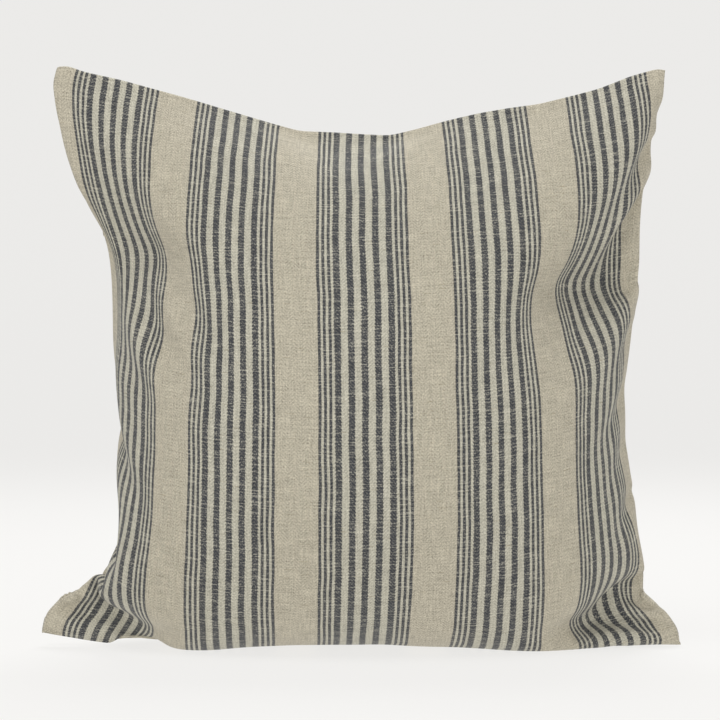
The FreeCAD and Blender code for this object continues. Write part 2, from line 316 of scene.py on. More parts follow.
def clearZip(cloth):
    # cloth that strays into the zip's groove goes to its nearer side, or up to its roof
    half, high = cover["grooveHalf"], cover["grooveHigh"]
    x, y, z = cloth[..., 0], cloth[..., 1], cloth[..., 2]
    inside = (np.abs(x) < cover["grooveEnd"]) & (np.abs(y) < half) & (z < high)
    inside[:, :, len(inside[0, 0]) // 4:] = False
    outSide = np.array([-half, half]).reshape(2, 1, 1)
    toSide = inside & (half - np.abs(y) < high - z)
    cloth[..., 1] = np.where(toSide, outSide, y)
    cloth[..., 2] = np.where(inside & ~toSide, high, z)


def relax(cloth, steps, rounds, squeeze, fill):
    # rounds of filling pressure and weight, each followed by the cloth's own lengths, seams and floor
    count, cell = steps + 1, cover["cut"] / steps
    targets = seamTargets(count)
    reach, crease = fillReach(count), creasePull(count)
    middle = cover["top"][0][1] * 0.5
    u, v = flatPlaces(count)
    seamAway = np.minimum(np.minimum(u, cover["cut"] - u), np.minimum(v, cover["cut"] - v))
    plies = cover["plies"] * smooth(0, 4 * mm, seamAway)
    allButLast, allButFirst = slice(None, -1), slice(1, None)
    before = cloth.copy()
    for _ in range(rounds):
        speed = (cloth - before) * cover["keep"]
        before = cloth.copy()
        normals = areaNormals(cloth)
        inside = float((cloth * normals).sum() / 3)
        short = np.clip((cover["volume"] - inside) / cover["volume"], -0.5, 0.5)
        fill = max(fill, cover["leastFill"]) * (1 + 0.05 * short)
        head = 1 + cover["headShare"] * (middle - cloth[..., 2:]) / middle
        cloth += speed + normals * head * reach[..., None] * (fill * cover["push"] / cell)
        cloth[..., 2] -= cover["sag"] * fill * cover["push"] * cell
        cloth[..., 1] += crease * cell
        for _ in range(2):
            for start in (0, 1):
                holdLength(cloth[:, start:-1:2], cloth[:, start + 1::2], cell, 1, squeeze)
                holdLength(cloth[:, :, start:-1:2], cloth[:, :, start + 1::2], cell, 1, squeeze)
            slant = cell * math.sqrt(2)
            for start in (0, 1):
                for here, there in ((allButLast, allButFirst), (allButFirst, allButLast)):
                    holdLength(
                        cloth[:, start:-1:2, here], cloth[:, start + 1::2, there],
                        slant, cover["shear"], cover["shear"] * squeeze,
                    )
            softenBends(cloth, cover["bend"])
            for (i, j), path in targets:
                edge = cloth[:, i, j]
                edge[..., 0] += (path[:, 0] - edge[..., 0]) * cover["hold"]
                edge[..., 2] += (path[:, 1] - edge[..., 2]) * cover["hold"]
                edge[..., 1] *= 1 - cover["centre"]
                cloth[:, i, j] = edge
            sewEdges(cloth)
            clearZip(cloth)
            np.maximum(cloth[..., 2], cover["floor"], out=cloth[..., 2])
            tight = np.maximum(plies - (cloth[1, ..., 1] - cloth[0, ..., 1]), 0) * 0.5
            cloth[0, ..., 1] -= tight
            cloth[1, ..., 1] += tight
    return cloth, fill


def simulateCover():
    # sewn cloth filled and set down, on four grids, each twice as fine as the one before
    began = time.time()
    random = np.random.default_rng(4)
    cloth = startShape(cover["steps"][0] + 1)
    fill = cover["firstFill"]
    levels = list(zip(cover["steps"], cover["rounds"], cover["squeeze"]))
    for steps, rounds, squeeze in levels:
        if cloth.shape[1] != steps + 1:
            places = np.arange(steps + 1) / 2
            cloth = between(between(cloth, places, 1), places, 2)
            cloth[:, 1:-1, 1:-1] += random.normal(
                0, 0.02 * cover["cut"] / steps, cloth[:, 1:-1, 1:-1].shape
            )
        cloth, fill = relax(cloth, steps, rounds, squeeze, fill)
        print(f"cover relaxed on a grid of {steps}, {time.time() - began:.0f} s")
    return cloth


def easeFolds(cloth):
    # where a fold pinches too hard each point moves, round by round, to the mean of its neighbours
    u, v = flatPlaces(cloth.shape[1])
    for (easeU, easeV), (reachU, reachV), rounds in cover["eased"]:
        share = np.exp(-(((u - easeU) / reachU) ** 2) - ((v - easeV) / reachV) ** 2)[None, ..., None]
        for _ in range(rounds):
            mean = cloth.copy()
            mean[:, 1:-1, 1:-1] = (
                cloth[:, 2:, 1:-1] + cloth[:, :-2, 1:-1] + cloth[:, 1:-1, 2:] + cloth[:, 1:-1, :-2]
            ) / 4
            for edge in (0, -1):
                mean[:, edge, 1:-1] = (cloth[:, edge, 2:] + cloth[:, edge, :-2]) / 2
            cloth = cloth + share * (mean - cloth)
    return cloth


def makeRoomForZip(cloth):
    # above the groove both panels keep a width that fades upwards and past the zip's ends
    v = flatPlaces(cloth.shape[1])[1]
    width = cover["zipRoom"] * (1 - smooth(*cover["zipRoomHigh"], cloth[..., 2]))
    width = width * (1 - smooth(*cover["zipRoomEnd"], np.abs(cloth[..., 0])))
    side = np.array([-1, 1]).reshape(2, 1, 1)
    wide = side * np.maximum(side * cloth[..., 1], width)
    cloth[..., 1] = np.where(v[None] > cover["zipHem"], wide, cloth[..., 1])
    return cloth


simulated = makeRoomForZip(easeFolds(simulateCover()))


def clothAt(u, v):
    # the relaxed cloth at places on the cut: (front and back, u, v, xyz)
    steps = simulated.shape[1] - 1
    scale = steps / cover["cut"]
    return between(between(simulated, u * scale, 1), v * scale, 2)


def unitNormals(grid, side):
    # outward unit normals of one panel's grid: the cross product of its slopes
    normals = np.cross(np.gradient(grid, axis=0), np.gradient(grid, axis=1))
    normals /= np.linalg.norm(normals, axis=-1, keepdims=True) + 1e-12
    return normals * (1 if side == 0 else -1)


def clothAtPairs(u, v):
    # the relaxed cloth at any matching arrays of places on the cut, blended from the four nearest
    steps = simulated.shape[1] - 1
    i = np.clip((u / cover["cut"] * steps).astype(int), 0, steps - 1)
    j = np.clip((v / cover["cut"] * steps).astype(int), 0, steps - 1)
    a, b = (u / cover["cut"] * steps - i)[..., None], (v / cover["cut"] * steps - j)[..., None]
    low = simulated[:, i, j] * (1 - a) + simulated[:, i + 1, j] * a
    high = simulated[:, i, j + 1] * (1 - a) + simulated[:, i + 1, j + 1] * a
    return low * (1 - b) + high * b


def pillowFaces(count):
    # two square grids as one closed skin: the second's rim points are the first's
    faces = np.concatenate([
        gridFaces(count, count), gridFaces(count, count, flip=True) + count * count,
    ])
    number = np.arange(count * count).reshape(count, count)
    rim = np.concatenate([number[:, 0], number[-1, 1:], number[-2::-1, -1], number[0, -2:0:-1]])
    same = np.arange(2 * count * count)
    same[rim + count * count] = rim
    return same[faces]


coverSkin = addMesh("coverSkin", simulated, pillowFaces(simulated.shape[1]))


def keepInside(points, gap):
    # points outside the cover, or nearer to its skin than the gap, move to the gap's depth
    cloud = addMesh("cloud", points, np.zeros((0, 4), int))
    wrap = cloud.modifiers.new("inside", "SHRINKWRAP")
    wrap.target = coverSkin
    wrap.wrap_method = "NEAREST_SURFACEPOINT"
    wrap.wrap_mode = "INSIDE"
    wrap.offset = gap
    moved = cloud.evaluated_get(bpy.context.evaluated_depsgraph_get())
    inside = np.empty(points.size, np.float32)
    moved.data.vertices.foreach_get("co", inside)
    bpy.data.meshes.remove(cloud.data)
    return inside.reshape(points.shape).astype(float)


def innerSheet(u, v):
    # a sheet spanned inside the seam by a blend of its four lines, bent as the panels' middle is
    seam, cut = simulated.mean(0), cover["cut"]
    marks = np.linspace(0, cut, seam.shape[0])

    def along(line, places):
        return np.stack([np.interp(places, marks, line[:, k]) for k in range(3)], -1)

    a, b = (u / cut)[..., None], (v / cut)[..., None]
    sheet = (1 - a) * along(seam[0], v) + a * along(seam[-1], v)
    sheet += (1 - b) * along(seam[:, 0], u) + b * along(seam[:, -1], u)
    sheet -= (1 - a) * (1 - b) * seam[0, 0] + a * (1 - b) * seam[-1, 0]
    sheet -= (1 - a) * b * seam[0, -1] + a * b * seam[-1, -1]
    sheet[..., 1] = clothAtPairs(u, v).mean(0)[..., 1]
    return keepInside(sheet, panel["lining"])


panel = {
    "cloth": 0.7 * mm,
    "allowance": (10.0, 6.5, 3.0, 1.0),   # rows of the turned allowance, mm from the seam
    "seamRows": (0.0, 0.5, 1.1, 1.9, 3.0, 4.6, 6.7, 9.2),   # rows next to the seam, mm
    "rows": 184,
    "seamDip": 1.1 * mm,      # how far the cloth rolls out beside the seam
    "ridge": 0.5 * mm,        # the turned allowance showing through
    "dipFrom": (0, 1.6 * mm), # where the dip grows and where it fades, from the seam
    "dipTo": (2 * mm, 7 * mm),
    "ridgeFrom": (0, 2 * mm),
    "ridgeTo": (8.5 * mm, 11.5 * mm),
    "flatHem": (8 * mm, 25 * mm),         # no dip or ridge this near the zip
    "slit": 0.9 * mm,         # half the zip's opening between the two panels
    "slitDeep": 4 * mm,
    "layer": 0.15 * mm,       # from the middle sheet to each allowance
    "lining": 1.9 * mm,       # how deep the allowances and stitches stay under the cover's skin
}


def panelRows(openEnd):
    # flat places of the panel's rows: allowance, seam, main cloth, seam and allowance
    seam = np.array(panel["seamRows"]) * mm
    turned = -np.array(panel["allowance"]) * mm
    cut = cover["cut"]
    main = np.linspace(seam[-1], cut - seam[-1], panel["rows"])[1:-1]
    first = seam if openEnd else np.concatenate([turned, seam])
    return np.concatenate([first, main, cut - seam[::-1], cut - turned[::-1]])


def makePanel(side, name, node):
    # the cloth outside, with its allowances turned in along the middle between the two panels
    u, v = panelRows(False), panelRows(True)
    cut = cover["cut"]
    foldU = np.where(u < 0, -u, np.where(u > cut, 2 * cut - u, u))
    foldV = np.where(v > cut, 2 * cut - v, v)
    both = clothAt(foldU, foldV)
    clearZip(both)
    outer = both[side]
    middle = innerSheet(*np.meshgrid(foldU, foldV, indexing="ij"))
    normals = unitNormals(outer, side)
    turned = (u < 0)[:, None] | (u > cut)[:, None] | (v > cut)[None, :]
    sideAway = np.minimum(foldU, cut - foldU)[:, None]
    topAway = (cut - foldV)[None, :]
    away = np.minimum(sideAway, topAway)
    roll = panel["seamDip"] * smooth(*panel["dipFrom"], away) * (1 - smooth(*panel["dipTo"], away))
    roll += panel["ridge"] * smooth(*panel["ridgeFrom"], away) * (1 - smooth(*panel["ridgeTo"], away))
    roll *= smooth(*panel["flatHem"], foldV)[None, :]
    outward = -1 if side == 0 else 1
    points = outer + normals * roll[..., None]
    middle[..., 1] += outward * panel["layer"]
    points = np.where(turned[..., None], middle, points)
    slit = panel["slit"] * zipShare(points[..., 0]) * (1 - smooth(0, panel["slitDeep"], foldV))
    points[..., 1] += outward * slit
    points[..., 2] = np.maximum(points[..., 2], 0.1 * mm)
    uv = np.stack(np.meshgrid(u, v, indexing="ij"), -1)
    faces = gridFaces(len(u), len(v), flip=side == 1)
    piece = addMesh(name, points, faces, uv)
    wall = piece.modifiers.new("cloth", "SOLIDIFY")
    wall.thickness = panel["cloth"]
    wall.offset = -1
    wall.use_rim = True
    settlePiece(piece, cushion, "cover_fabric", node)
    size = cut + 2 * panel["allowance"][0] * mm
    return piece, (size, cut + panel["allowance"][0] * mm)


frontPanel, panelSize = makePanel(0, "frontPanel", "front_panel")
backPanel, _ = makePanel(1, "backPanel", "back_panel")
print("panels made")


insert = {
    "edge": 14.0 * mm,        # how far the insert's edge stays from the cover's seam
    "casing": 0.4 * mm,
    # from the cover's outer face to the casing's and the filling's, where flat and where full
    "casingGap": (1.1 * mm, 1.9 * mm),
    "fillingGap": (1.6 * mm, 2.8 * mm),
    "flatDeep": (2.5 * mm, 7 * mm),       # half thickness of the cover where it counts as flat, and full
    "fillingInset": 1.2 * mm,
    "lumps": 0.8 * mm,
    # how far the corners draw back: low left, low right, high left, high right
    "corners": (0.17, 0.17, 0.10, 0.10),
    "rows": 150,
    "round": 16.0 * mm,
    "zipHalf": 14.0 * mm,     # room over the zip
    "zipFade": 8.0 * mm,
    "zipHigh": 13.0 * mm,
    "floor": 1.6 * mm,
}


def insertHalf(side, gaps, edge, lumps=0.0):
    # the cover's shape moved inwards by a gap, its corners drawn back and its edges brought together
    cut = cover["cut"]
    t = np.sin(np.linspace(-1, 1, insert["rows"]) * math.pi / 2)
    a, b = np.meshgrid(t, t, indexing="ij")
    lowLeft, lowRight, highLeft, highRight = insert["corners"]
    right, high = (a + 1) / 2, (b + 1) / 2
    drawn = (lowLeft * (1 - right) + lowRight * right) * (1 - high)
    drawn += (highLeft * (1 - right) + highRight * right) * high
    share = 1 - drawn * np.abs(a * b) ** 3
    u = cut / 2 + a * share * (cut / 2 - edge)
    v = cut / 2 + b * share * (cut / 2 - edge)
    both = clothAtPairs(u, v)
    outer, middle = both[side], innerSheet(u, v)
    normals = unitNormals(outer, side)
    deep = np.abs(both[1, ..., 1] - both[0, ..., 1]) / 2
    gap = gaps[0] + (gaps[1] - gaps[0]) * smooth(*insert["flatDeep"], deep)
    rimAway = (1 - np.maximum(np.abs(a), np.abs(b))) * cut / 2
    weight = np.sqrt(np.clip(rimAway / insert["round"], 0, 1))
    points = outer - normals * gap[..., None]
    if lumps:             # a product of two sines, each bent by the other way's place
        wave = np.sin(u * 190 + 2 * np.sin(v * 70)) * np.sin(v * 230 + 1.5 * np.sin(u * 90))
        points -= normals * (lumps * (0.5 + 0.5 * wave))[..., None]
    points = keepInside(middle + (points - middle) * weight[..., None], gaps[0])
    half = insert["zipHalf"]
    roof = 1 - smooth(half, half + insert["zipFade"], np.abs(points[..., 1]))
    low = np.maximum(insert["zipHigh"] * roof, insert["floor"]) + gap
    points[..., 2] = np.maximum(points[..., 2], low)
    return points, np.stack([u, v], -1)


def makeCasing(side, name, node):
    points, uv = insertHalf(side, insert["casingGap"], insert["edge"])
    count = insert["rows"]
    piece = addMesh(name, points, gridFaces(count, count, flip=side == 1), uv)
    wall = piece.modifiers.new("cloth", "SOLIDIFY")
    wall.thickness = insert["casing"]
    wall.offset = -1
    return settlePiece(piece, cushion, "casing_fabric", node)


def makeFilling():
    # both halves as one closed skin, joined at their edge
    edge = insert["edge"] + insert["fillingInset"]
    halves = [insertHalf(side, insert["fillingGap"], edge, insert["lumps"]) for side in (0, 1)]
    count = insert["rows"]
    points = np.concatenate([half[0].reshape(-1, 3) for half in halves])
    uv = np.concatenate([half[1].reshape(-1, 2) for half in halves])
    piece = addMesh("insertFilling", points, pillowFaces(count), uv)
    work = bmesh.new()
    work.from_mesh(piece.data)
    bmesh.ops.delete(work, geom=[p for p in work.verts if not p.link_faces], context="VERTS")
    work.to_mesh(piece.data)
    work.free()
    return settlePiece(piece, cushion, "filling", "insert_filling")


casingFront = makeCasing(0, "insertCasingFront", "insert_casing_front")
casingBack = makeCasing(1, "insertCasingBack", "insert_casing_back")
filling = makeFilling()
print("insert made")


sewing = {
    "thread": 0.14 * mm,
    "stitch": 2.6 * mm,       # from one stitch to the next
    "inset": 2.2 * mm,        # the seam's stitches, in from the fold
    "overlockIn": 5.5 * mm,
    "overlockOut": 10.3 * mm,
    "overlockStep": 3.0 * mm,
    "pastEnds": 12 * mm,
    "casingInset": 3.0 * mm,
    "sides": 5,
    "labelInset": (3.6 * mm, 9.6 * mm),
    "labelRun": (0.160, 0.222),
    "label": 0.2 * mm,
}


def unit(vectors):
    return vectors / (np.linalg.norm(vectors, axis=-1, keepdims=True) + 1e-12)


def makeStitches(name, starts, ends, ups, slotName, node):
    # each stitch is a thin rod from start to end, narrower at its ends and raised in its middle
    along, count = ends - starts, len(starts)
    side = unit(np.cross(along, ups))
    lift = unit(np.cross(side, along))
    turn = np.arange(sewing["sides"]) * (2 * math.pi / sewing["sides"])
    share = np.array([0.0, 0.25, 0.75, 1.0])
    thick = np.array([0.5, 1.0, 1.0, 0.5]) * sewing["thread"]
    arch = np.array([-0.5, 0.3, 0.3, -0.5]) * sewing["thread"]
    centre = starts[:, None] + along[:, None] * share[:, None] + lift[:, None] * arch[:, None]
    ring = side[:, None] * np.cos(turn)[:, None] + lift[:, None] * np.sin(turn)[:, None]
    points = centre[:, :, None] + ring[:, None] * thick[:, None, None]
    rings, sides = len(share), sewing["sides"]
    quads = gridFaces(rings, sides, closeColumns=True)
    first = (np.arange(count) * rings * sides)[:, None, None]
    walls = (quads[None] + first).reshape(-1, 4)
    cap = np.arange(sides)
    caps = np.concatenate([cap[None, ::-1], cap[None] + (rings - 1) * sides]) + first
    mesh = bpy.data.meshes.new(name)
    faces = walls.tolist() + caps.reshape(-1, sides).tolist()
    mesh.from_pydata(points.reshape(-1, 3).tolist(), [], faces)
    mesh.update()
    piece = bpy.data.objects.new(name, mesh)
    bpy.context.scene.collection.objects.link(piece)
    return settlePiece(piece, cushion, slotName, node)


def sewnSides(inset, start, step):
    # places along the three closed sides, a distance in from each
    cut = cover["cut"]
    run = np.arange(start, cut - start, step)
    same = np.full_like(run, inset)
    u = np.concatenate([same, run, cut - same])
    v = np.concatenate([run, cut - same, run])
    return u, v, len(run)


def makeSeamThread(side, name, node):
    outward = np.array([0, -1.0 if side == 0 else 1.0, 0])
    u, v, run = sewnSides(sewing["inset"], sewing["inset"], sewing["stitch"])
    places = innerSheet(u, v) + outward * (panel["cloth"] + panel["layer"] + sewing["thread"] * 0.8)
    inRun = np.arange(len(places) - 1) % run != run - 1
    starts, ends = places[:-1][inRun], places[1:][inRun]
    gap = (ends - starts) * 0.06
    ups = np.tile(outward, (len(starts), 1))
    return makeStitches(name, starts + gap, ends - gap, ups, "thread", node)


def makeOverlock(side, name, node):
    # slanting stitches over each raw edge, and a chain along their inner ends
    outward = np.array([0, -1.0 if side == 0 else 1.0, 0])
    raised = outward * (panel["cloth"] + panel["layer"] + sewing["thread"] * 0.9)
    inner = sewnSides(sewing["overlockIn"], sewing["pastEnds"], sewing["overlockStep"])
    outer = sewnSides(sewing["overlockOut"], sewing["pastEnds"], sewing["overlockStep"])
    inside, outside = innerSheet(*inner[:2]) + raised, innerSheet(*outer[:2]) + raised
    inRun = np.arange(len(inside) - 1) % inner[2] != inner[2] - 1
    in0, in1, out0, out1 = (
        line[inRun] for line in (inside[:-1], inside[1:], outside[:-1], outside[1:])
    )
    starts = np.concatenate([in0, out0, in0, out0])
    ends = np.concatenate([out0, in1, in1, out1])
    ups = np.tile(outward, (len(starts), 1))
    return makeStitches(name, starts, ends, ups, "thread", node)


def makeCasingThread():
    # stitches round both faces of the insert, a little in from its edge
    starts, ends, ups = [], [], []
    for side in (0, 1):
        points, uv = insertHalf(side, insert["casingGap"], insert["edge"])
        normals = unitNormals(points, side)
        row = uv[:, len(uv) // 2, 0]
        k = int(np.argmax(row - row[0] > sewing["casingInset"]))
        run = slice(k, -k)
        for line in ((k, run), (-1 - k, run), (run, k), (run, -1 - k)):
            path, up = points[line], normals[line]
            arc = np.concatenate([[0], np.cumsum(np.linalg.norm(np.diff(path, axis=0), axis=1))])
            even = np.arange(0, arc[-1], sewing["stitch"])
            placed = np.stack([np.interp(even, arc, path[:, c]) for c in range(3)], 1)
            lifted = unit(np.stack([np.interp(even, arc, up[:, c]) for c in range(3)], 1))
            placed += lifted * sewing["thread"] * 0.6
            gap = (placed[1:] - placed[:-1]) * 0.12
            starts.append(placed[:-1] + gap)
            ends.append(placed[1:] - gap)
            ups.append(lifted[:-1])
    return makeStitches(
        "insertEdgeStitches", np.concatenate(starts), np.concatenate(ends), np.concatenate(ups),
        "casing_thread", "insert_edge_thread",
    )


def makeLabel():
    # a blank strip laid on the front allowance of the left seam
    u = np.linspace(*sewing["labelInset"], 7)
    v = np.linspace(*sewing["labelRun"], 50)
    uu, vv = np.meshgrid(u, v, indexing="ij")
    points = innerSheet(uu, vv)
    points[..., 1] -= panel["cloth"] + panel["layer"] + sewing["label"] + 0.05 * mm
    piece = addMesh("careLabel", points, gridFaces(len(u), len(v)), np.stack([uu, vv], -1))
    wall = piece.modifiers.new("satin", "SOLIDIFY")
    wall.thickness = sewing["label"]
    wall.offset = -1
    return settlePiece(piece, cushion, "label", "care_label")


zipCloth = {
    "tape": 0.4 * mm,
    "wide": 10.5 * mm,
    "half": 189.5 * mm,       # half the tape's length, as a run along the cut cloth
    "gap": 0.1 * mm,
    "stitches": 4.2 * mm,     # how far from the seam the tape is sewn on
}


def underPanel(side, u, v, depth):
    # the panel's own surface beside the zip, moved inwards by a depth along its normals
    both = clothAt(u, v)
    clearZip(both)
    outer = both[side]
    slit = panel["slit"] * zipShare(outer[..., 0]) * (1 - smooth(0, panel["slitDeep"], v))
    outer[..., 1] += (-1 if side == 0 else 1) * slit
    return outer - unitNormals(outer, side) * depth


def makeTape(side, name, node):
    u = cover["cut"] / 2 + np.linspace(-zipCloth["half"], zipCloth["half"], 260)
    v = np.linspace(0, zipCloth["wide"], 12)
    points = underPanel(side, u, v, panel["cloth"] + zipCloth["gap"])
    uv = np.stack(np.meshgrid(u, v, indexing="ij"), -1)
    piece = addMesh(name, points, gridFaces(len(u), len(v), flip=side == 1), uv)
    wall = piece.modifiers.new("weave", "SOLIDIFY")
    wall.thickness = zipCloth["tape"]
    wall.offset = -1
    settlePiece(piece, cushion, "zip_tape", node)
    return piece


def makeTapeThread(side, name, node):
    u = cover["cut"] / 2 + np.arange(-zipCloth["half"], zipCloth["half"], sewing["stitch"])
    v = zipCloth["stitches"] + np.array([-0.5, 0, 0.5]) * mm
    depth = panel["cloth"] + zipCloth["gap"] + zipCloth["tape"] + sewing["thread"] * 0.8
    grid = underPanel(side, u, v, depth)
    inwards = -unitNormals(grid, side)[:, 1]
    path = grid[:, 1]
    gap = (path[1:] - path[:-1]) * 0.06
    return makeStitches(name, path[:-1] + gap, path[1:] - gap, inwards[:-1], "thread", node)


threadPieces = {
    "zip_tape": [
        makeTape(0, "zipTapeFront", "zip_tape_front"),
        makeTape(1, "zipTapeBack", "zip_tape_back"),
    ],
    "thread": [
        makeSeamThread(0, "seamNeedleStitches", "seam_needle_thread"),
        makeSeamThread(1, "seamBobbinStitches", "seam_bobbin_thread"),
        makeOverlock(0, "overlockStitchesFront", "overlock_thread_front"),
        makeOverlock(1, "overlockStitchesBack", "overlock_thread_back"),
        makeTapeThread(0, "zipStitchesFront", "zip_thread_front"),
        makeTapeThread(1, "zipStitchesBack", "zip_thread_back"),
    ],
    "casing_thread": [makeCasingThread()],
    "label": [makeLabel()],
}
bpy.data.meshes.remove(coverSkin.data)
print("stitches and label made")


def nodeTree(name):
    material = bpy.data.materials.new(name)
    material.use_nodes = True
    return material, material.node_tree, material.node_tree.nodes["Principled BSDF"]


class Maths:
    # small sums written as node links: each call adds one node and gives back its output

    def __init__(self, tree):
        self.tree = tree

    def plug(self, socket, value):
        if isinstance(value, bpy.types.NodeSocket):
            self.tree.links.new(value, socket)
        else:
            socket.default_value = value

    def do(self, operation, *values, clamp=False):
        node = self.tree.nodes.new("ShaderNodeMath")
        node.operation = operation
        node.use_clamp = clamp
        for socket, value in zip(node.inputs, values):
            self.plug(socket, value)
        return node.outputs[0]

    def add(self, a, b):
        return self.do("ADD", a, b)

    def less(self, a, b):
        return self.do("SUBTRACT", a, b)

    def times(self, a, b):
        return self.do("MULTIPLY", a, b)

    def ramp(self, value, low, high):
        # 0 below low and 1 above high, smooth between; low may be above high
        node = self.tree.nodes.new("ShaderNodeMapRange")
        node.interpolation_type = "SMOOTHSTEP"
        node.clamp = True
        self.plug(node.inputs["Value"], value)
        self.plug(node.inputs["From Min"], low)
        self.plug(node.inputs["From Max"], high)
        return node.outputs["Result"]

    def wave(self, value, period):
        # distance from the middle of each period, 0 to half the period
        return self.do("PINGPONG", value, period)

    def noise(self, vector, scale, detail=2.0, roughness=0.5):
        node = self.tree.nodes.new("ShaderNodeTexNoise")
        self.plug(node.inputs["Vector"], vector)
        node.inputs["Scale"].default_value = scale
        node.inputs["Detail"].default_value = detail
        node.inputs["Roughness"].default_value = roughness
        return node.outputs["Fac"]

    def join(self, x, y, z=0.0):
        node = self.tree.nodes.new("ShaderNodeCombineXYZ")
        for socket, value in zip(node.inputs, (x, y, z)):
            self.plug(socket, value)
        return node.outputs[0]

    def mix(self, factor, a, b):
        node = self.tree.nodes.new("ShaderNodeMix")
        node.data_type = "RGBA"
        self.plug(node.inputs["Factor"], factor)
        self.plug(node.inputs[6], a)
        self.plug(node.inputs[7], b)
        return node.outputs[2]

    def brighten(self, colour, factor):
        # a colour times a number
        node = self.tree.nodes.new("ShaderNodeVectorMath")
        node.operation = "SCALE"
        self.plug(node.inputs[0], colour if isinstance(colour, bpy.types.NodeSocket) else colour[:3])
        self.plug(node.inputs["Scale"], factor)
        return node.outputs[0]

    def bump(self, height, distance, strength=1.0):
        node = self.tree.nodes.new("ShaderNodeBump")
        node.inputs["Strength"].default_value = strength
        node.inputs["Distance"].default_value = distance
        self.plug(node.inputs["Height"], height)
        return node.outputs[0]


def linear(red, green, blue):
    # a screen colour, 0 to 255, as the shader's own linear light
    def one(value):
        value /= 255
        return value / 12.92 if value <= 0.04045 else ((value + 0.055) / 1.055) ** 2.4
    return (one(red), one(green), one(blue), 1.0)


linen = {
    "natural": linear(184, 177, 159),
    "fleck": linear(158, 148, 126),
    "gap": linear(187, 184, 169),
    "charcoal": linear(53, 56, 63),
    "repeat": 100 * mm,       # from one stripe band to the next
    "bar": 9.8 * mm,          # from one wide bar to the next
    "bars": 5,
    "barHalf": 2.35 * mm,
    "edge": 0.35 * mm,        # how softly a bar's edge and a thin line's edge fade
    "thinEdge": 0.3 * mm,
    "thin": (25.0 * mm, 29.0 * mm, 33.0 * mm),
    "thinHalf": 1.1 * mm,
    "bandEdge": (34.5 * mm, 33.0 * mm),
    "twill": 2.7 * mm,        # one repeat of the slanting rib, up the cloth
    "column": 4.9 * mm,       # width of a herringbone column
    "slope": 1.0,
    "inkLow": 0.84,           # how much dark yarn shows between the ribs
    "crossed": 0.45,          # how much of it a light weft yarn hides
    "warpLight": 0.70,
    "weftLight": 0.75,
    "grainLight": 1.15,
    "mottleLight": 0.16,
    "ribLight": 0.16,
    "wander": 2.6 * mm,       # slow drift of the stripes, side to side
}


